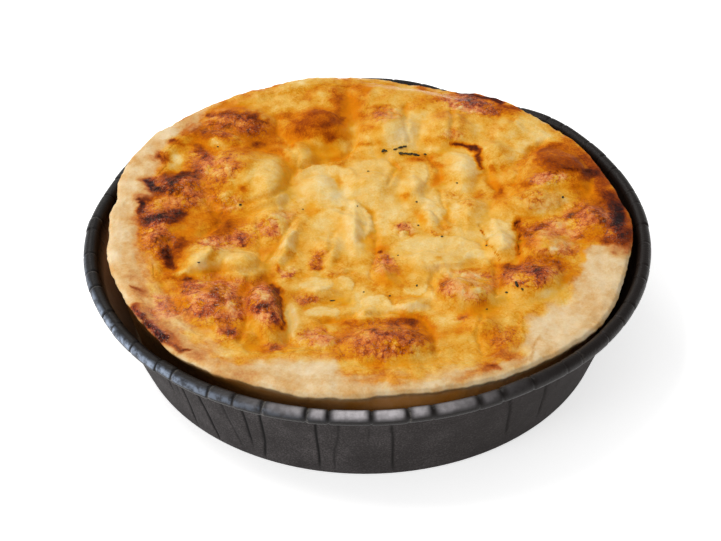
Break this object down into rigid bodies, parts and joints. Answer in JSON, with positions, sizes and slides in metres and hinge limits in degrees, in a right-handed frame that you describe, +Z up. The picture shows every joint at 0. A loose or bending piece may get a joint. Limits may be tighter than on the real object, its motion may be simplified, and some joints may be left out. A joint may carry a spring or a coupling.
{
  "type": "quiche",
  "caption": "Round individual cheese quiche with a browned, hummocky top and a pale pastry edge, baked in a dark paper case with a creased rolled rim.",
  "frame": {"origin": "centre of the paper case's flat base, on the surface it stands on", "axes": "+Z up out of the quiche, -Y towards the front of the pictured view, +X to its right"},
  "size_m": [0.1199, 0.1199, 0.0302],
  "materials": {
    "dark_paper": "dark brown-black baking paper, satin, creased",
    "pastry": "baked shortcrust pastry, matt, lightly floury",
    "baked_cheese": "melted and browned cheese, slightly oily"
  },
  "bodies": {
    "root": {"paper_case": "dark_paper", "pastry_shell": "pastry", "cheese_filling": "baked_cheese"}
  },
  "joints": []
}
